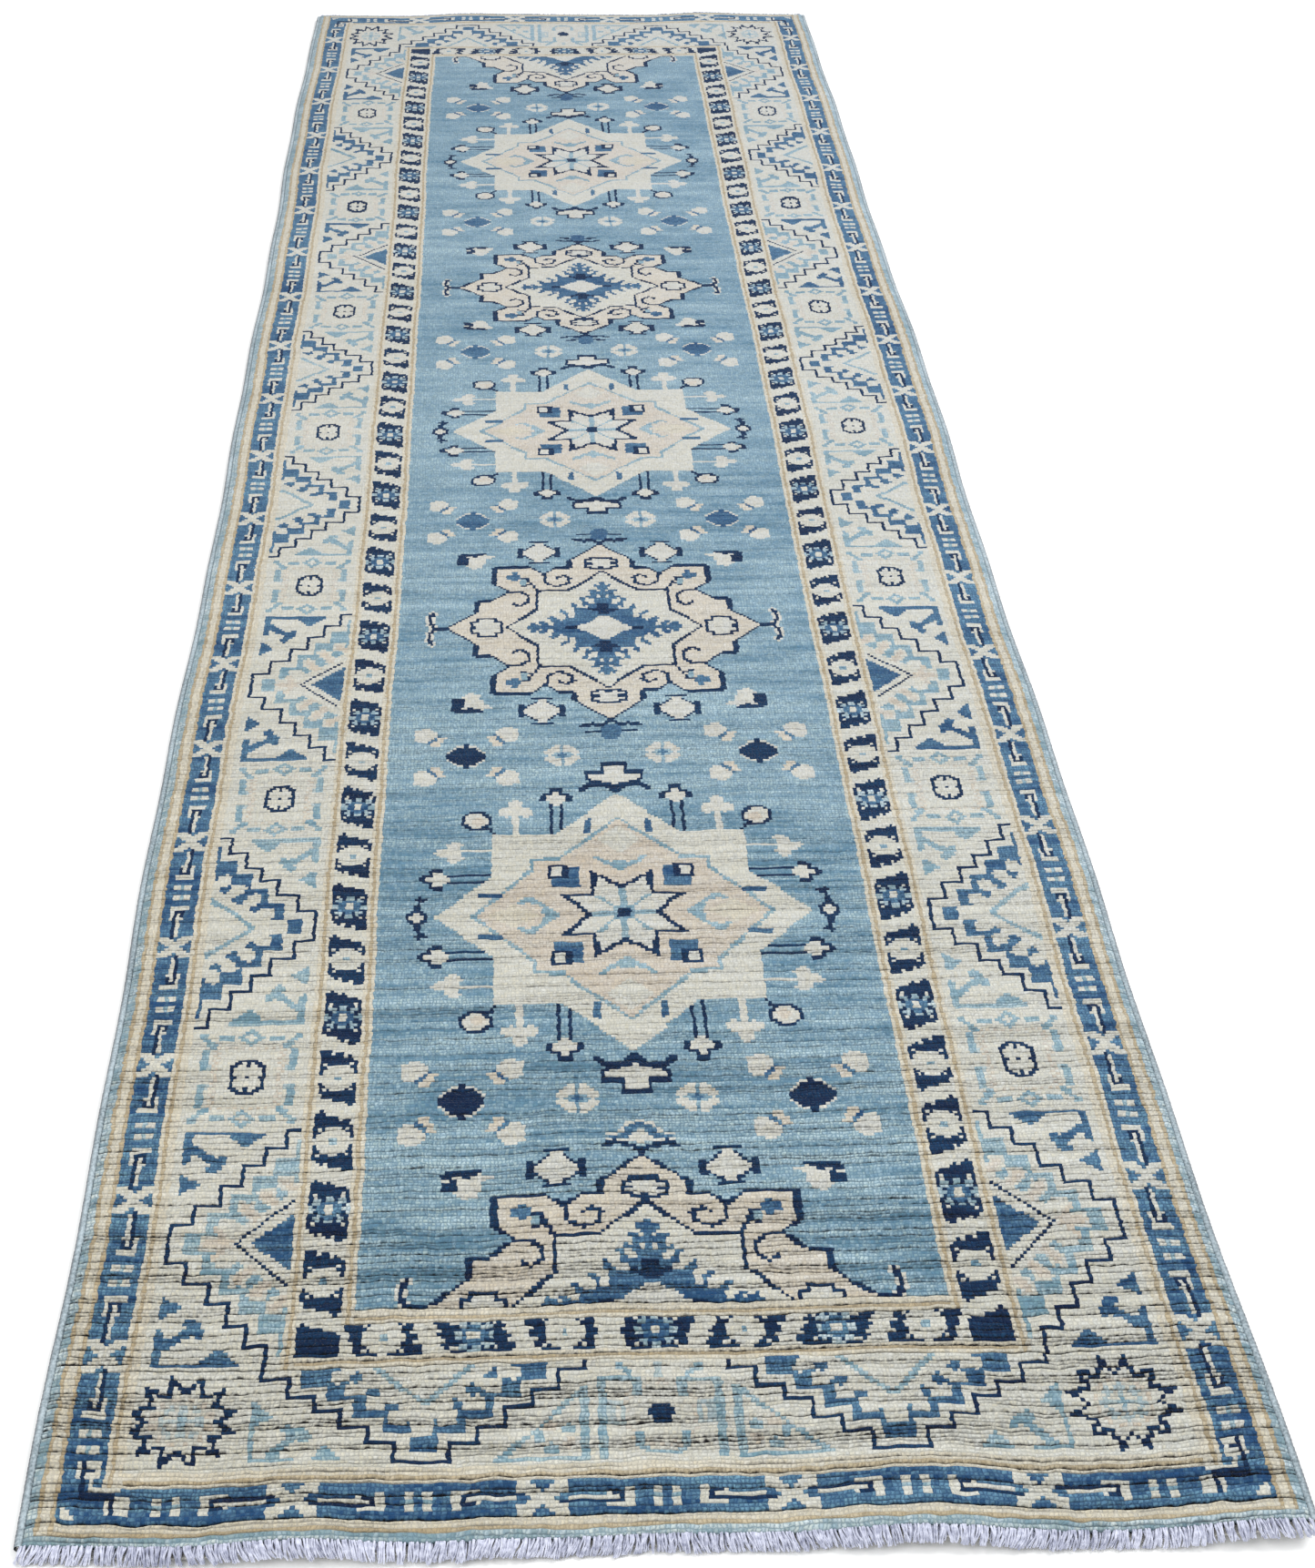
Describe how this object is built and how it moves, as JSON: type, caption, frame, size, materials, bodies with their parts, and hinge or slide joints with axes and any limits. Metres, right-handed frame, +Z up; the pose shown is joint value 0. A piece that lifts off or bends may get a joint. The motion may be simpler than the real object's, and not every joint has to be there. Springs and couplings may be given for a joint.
{
  "type": "runner rug",
  "caption": "Long hand-knotted wool runner with a cut pile in borders and medallions, overcast side cords and fringed ends, lying flat.",
  "frame": {"origin": "centre of the underside, on the floor that the runner lies on", "axes": "+Y along the runner towards its far end, +X across it, +Z up out of the pile"},
  "size_m": [0.8216, 2.982, 0.009],
  "materials": {
    "cotton": "matt undyed cotton",
    "overcast_wool": "matt spun wool, wound",
    "wool_pale_blue": "matt cut wool pile",
    "wool_beige": "matt cut wool pile",
    "wool_blue": "matt cut wool pile",
    "wool_ivory": "matt cut wool pile",
    "wool_navy": "matt cut wool pile",
    "wool_sky": "matt cut wool pile",
    "wool_pink": "matt cut wool pile"
  },
  "bodies": {
    "root": {"ground_weave": "cotton", "web_near": "cotton", "web_far": "cotton", "fringe_near": "cotton", "fringe_far": "cotton", "selvedge_core_left": "cotton", "selvedge_core_right": "cotton", "selvedge_wrap_left": "overcast_wool", "selvedge_wrap_right": "overcast_wool", "edge_stripe_left": "wool_pale_blue", "edge_stripe_right": "wool_pale_blue", "edge_stripe_near": "wool_pale_blue", "edge_stripe_far": "wool_pale_blue", "line_a_left": "wool_beige", "line_a_right": "wool_beige", "line_a_near": "wool_beige", "line_a_far": "wool_beige", "guard_left": "wool_blue", "guard_right": "wool_blue", "guard_near": "wool_blue", "guard_far": "wool_blue", "line_b_left": "wool_beige", "line_b_right": "wool_beige", "line_b_near": "wool_beige", "line_b_far": "wool_beige", "main_left": "wool_ivory", "main_right": "wool_ivory", "main_near": "wool_ivory", "main_far": "wool_ivory", "corner_near_left": "wool_ivory", "corner_near_right": "wool_ivory", "corner_far_left": "wool_ivory", "corner_far_right": "wool_ivory", "line_c_left": "wool_beige", "line_c_right": "wool_beige", "line_c_near": "wool_beige", "line_c_far": "wool_beige", "narrow_left": "wool_navy", "narrow_right": "wool_navy", "narrow_near": "wool_navy", "narrow_far": "wool_navy", "line_d_left": "wool_beige", "line_d_right": "wool_beige", "line_d_near": "wool_beige", "line_d_far": "wool_beige", "field_left": "wool_sky", "field_right": "wool_sky", "half_hooked_near": "wool_pink", "star_1": "wool_ivory", "hooked_1": "wool_pink", "star_2": "wool_ivory", "hooked_2": "wool_pink", "star_3": "wool_ivory", "half_hooked_far": "wool_pink"}
  },
  "joints": []
}
